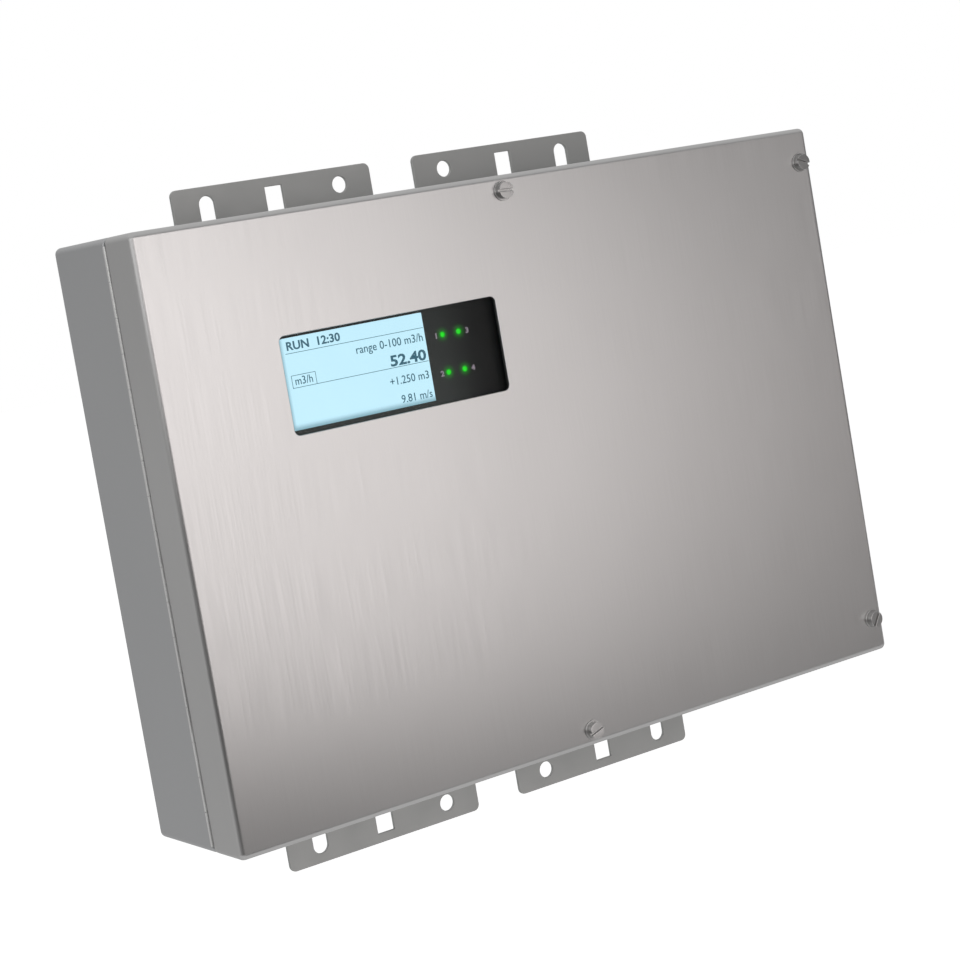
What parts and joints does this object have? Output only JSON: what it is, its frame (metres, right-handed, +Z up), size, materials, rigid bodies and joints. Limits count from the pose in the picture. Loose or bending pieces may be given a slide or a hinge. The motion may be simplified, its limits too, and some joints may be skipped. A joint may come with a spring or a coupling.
{
  "type": "ultrasonic gas meter",
  "caption": "Flat stainless steel wall housing of a clamp-on ultrasonic gas flow meter, with a hinged cover, a display window, slotted cover screws and joggled wall brackets.",
  "frame": {"origin": "centre of the rectangle of round fixing holes, on the wall plane where the bracket legs lie", "axes": "+Z up, +Y into the wall, +X to the right seen from the front; the cover faces -Y"},
  "size_m": [0.4208, 0.1093, 0.364],
  "materials": {
    "housing_steel": "fine satin",
    "cover_steel": "brushed, upright grain",
    "bracket_steel": "dull satin",
    "fastener_steel": "bright zinc",
    "screw_steel": "turned, bright",
    "hinge_steel": "bright",
    "seal_rubber": "matte",
    "entry_plastic": "moulded",
    "entry_brass": "nickel plated",
    "spacer_brass": "turned",
    "zinc_plate": "zinc plated",
    "plate_paint": "fine texture",
    "keypad_film": "fine matt film",
    "circuit_board": "lacquered",
    "terminal_green": "moulded",
    "black_plastic": "moulded",
    "bare_cell": "bright",
    "capacitor_sleeve": "shrunk sleeve",
    "module_aluminium": "plain",
    "readout_glass": "back-lit",
    "display_black": "glossy",
    "lamp_green": "lit",
    "window_clear": "clear"
  },
  "bodies": {
    "housing": {"rear_housing": "housing_steel", "mounting_bracket_top_left": "bracket_steel", "mounting_bracket_top_right": "bracket_steel", "mounting_bracket_bottom_left": "bracket_steel", "mounting_bracket_bottom_right": "bracket_steel", "bracket_bolts": "fastener_steel", "bracket_nuts": "fastener_steel", "cover_weld_nuts": "fastener_steel", "chassis_studs": "fastener_steel", "chassis_nuts": "fastener_steel", "board_screws": "fastener_steel", "terminal_screws": "fastener_steel", "operating_screws": "fastener_steel", "display_screws": "fastener_steel", "hinge_housing_leaf": "hinge_steel", "hinge_pin": "hinge_steel", "entry_seals": "seal_rubber", "entry_plugs": "entry_plastic", "entry_locknuts": "entry_brass", "earth_stud": "entry_brass", "earth_nuts": "entry_brass", "earth_washers": "entry_brass", "board_spacers": "spacer_brass", "display_spacers": "spacer_brass", "chassis_plate": "zinc_plate", "operating_pillars": "zinc_plate", "operating_plate": "plate_paint", "keypad_foil": "keypad_film", "main_board": "circuit_board", "display_board": "circuit_board", "supply_terminals": "terminal_green", "output_terminals": "terminal_green", "transducer_terminals": "terminal_green", "fuse_holder": "black_plastic", "fuse_cap": "black_plastic", "battery_holder": "black_plastic", "board_chips": "black_plastic", "lcd_tray": "black_plastic", "backup_battery": "bare_cell", "board_capacitors": "capacitor_sleeve", "signal_shield": "module_aluminium", "power_supply": "module_aluminium", "measuring_module": "module_aluminium", "lcd_glass": "readout_glass", "display_mask": "display_black", "status_lamps": "lamp_green"},
    "cover": {"front_cover": "cover_steel", "window_gasket": "seal_rubber", "window_pane": "window_clear", "window_frame": "zinc_plate", "window_studs": "fastener_steel", "window_nuts": "fastener_steel", "cover_gasket": "seal_rubber", "cover_screws": "screw_steel", "cover_screw_washers": "screw_steel", "cover_screw_sleeves": "fastener_steel", "cover_screw_rings": "fastener_steel", "hinge_cover_leaf": "hinge_steel"}
  },
  "joints": [
    {"name": "cover_hinge", "type": "hinge", "parent": "housing", "child": "cover", "pos_m": [-0.20976, -0.076, 0.0115], "axis": [0, 0, -1], "range_deg": [0, 150]}
  ]
}
